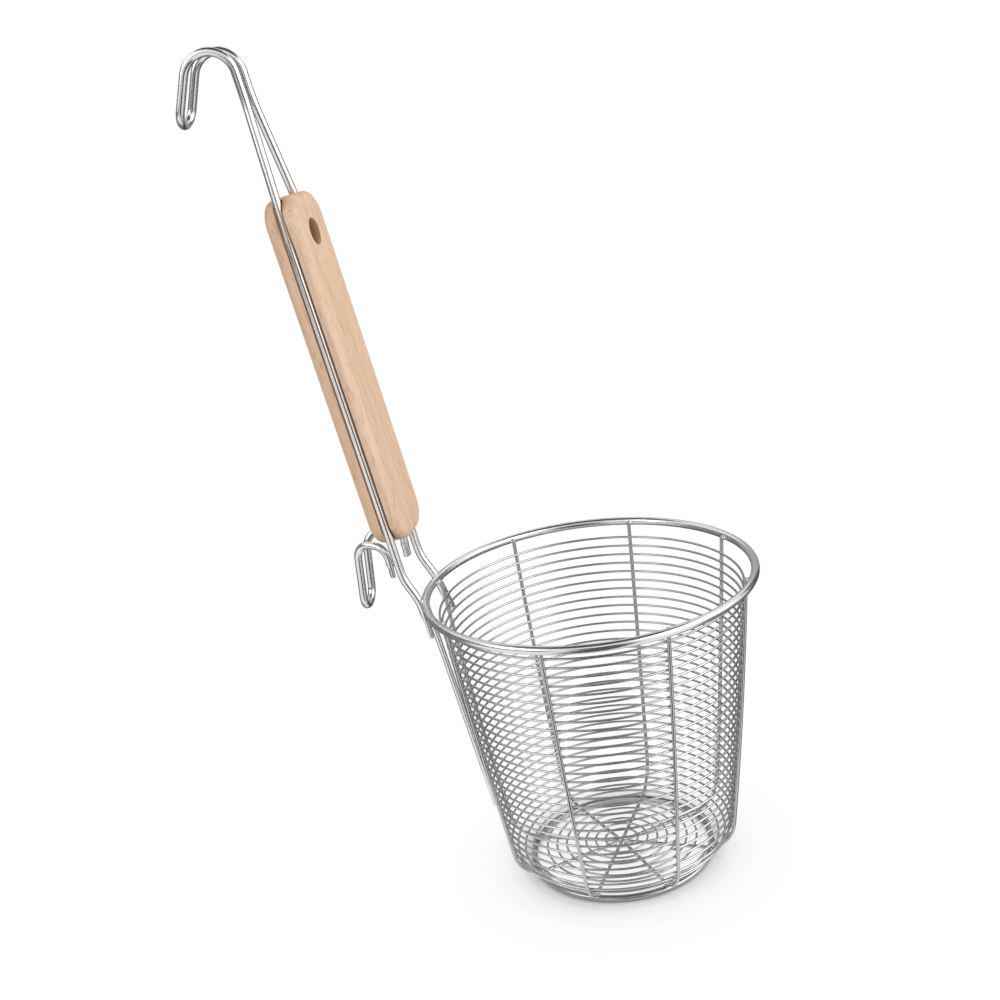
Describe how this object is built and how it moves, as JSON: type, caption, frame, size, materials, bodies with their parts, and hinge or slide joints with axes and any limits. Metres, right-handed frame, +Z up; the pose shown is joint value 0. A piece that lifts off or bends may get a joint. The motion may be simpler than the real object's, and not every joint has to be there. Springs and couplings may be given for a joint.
{
  "type": "noodle strainer basket",
  "caption": "Deep round noodle strainer of spaced steel wire rings on ribs, with a wire foot, a leaning wooden grip, a hanging hook above it and a pot-rim hook below it.",
  "frame": {"origin": "the middle of the bounding box at the level of the surface that the foot ring stands on; the basket's axis is 34.6 mm from it along +X", "axes": "+Z up, the basket's mouth opening upwards; the grip and both hooks are on the -X side of the basket; the plane Y = 0 halves the grip"},
  "size_m": [0.2126, 0.1434, 0.3663],
  "materials": {
    "frame_steel": "bright drawn stainless wire, electropolished after welding",
    "basket_steel": "bright drawn stainless wire, spot-welded at each crossing",
    "grip_wood": "light hardwood, sanded smooth, unvarnished"
  },
  "bodies": {
    "root": {"rim_ring": "frame_steel", "foot_ring": "frame_steel", "frame_wire": "frame_steel", "pot_hook": "frame_steel", "wood_grip": "grip_wood", "side_stay": "frame_steel", "rib_through": "basket_steel", "rib_1": "basket_steel", "rib_2": "basket_steel", "rib_3": "basket_steel", "rib_4": "basket_steel", "rib_5": "basket_steel", "rib_6": "basket_steel", "floor_ring_1": "basket_steel", "floor_ring_2": "basket_steel", "floor_ring_3": "basket_steel", "floor_ring_4": "basket_steel", "floor_ring_5": "basket_steel", "floor_ring_6": "basket_steel", "floor_ring_7": "basket_steel", "wall_ring_01": "basket_steel", "wall_ring_02": "basket_steel", "wall_ring_03": "basket_steel", "wall_ring_04": "basket_steel", "wall_ring_05": "basket_steel", "wall_ring_06": "basket_steel", "wall_ring_07": "basket_steel", "wall_ring_08": "basket_steel", "wall_ring_09": "basket_steel", "wall_ring_10": "basket_steel", "wall_ring_11": "basket_steel", "wall_ring_12": "basket_steel", "wall_ring_13": "basket_steel", "wall_ring_14": "basket_steel", "wall_ring_15": "basket_steel", "wall_ring_16": "basket_steel", "wall_ring_17": "basket_steel", "wall_ring_18": "basket_steel", "wall_ring_19": "basket_steel", "wall_ring_20": "basket_steel", "wall_ring_21": "basket_steel", "wall_ring_22": "basket_steel", "wall_ring_23": "basket_steel", "wall_ring_24": "basket_steel", "wall_ring_25": "basket_steel", "wall_ring_26": "basket_steel", "wall_ring_27": "basket_steel", "wall_ring_28": "basket_steel", "wall_ring_29": "basket_steel", "wall_ring_30": "basket_steel", "wall_ring_31": "basket_steel", "wall_ring_32": "basket_steel"}
  },
  "joints": []
}
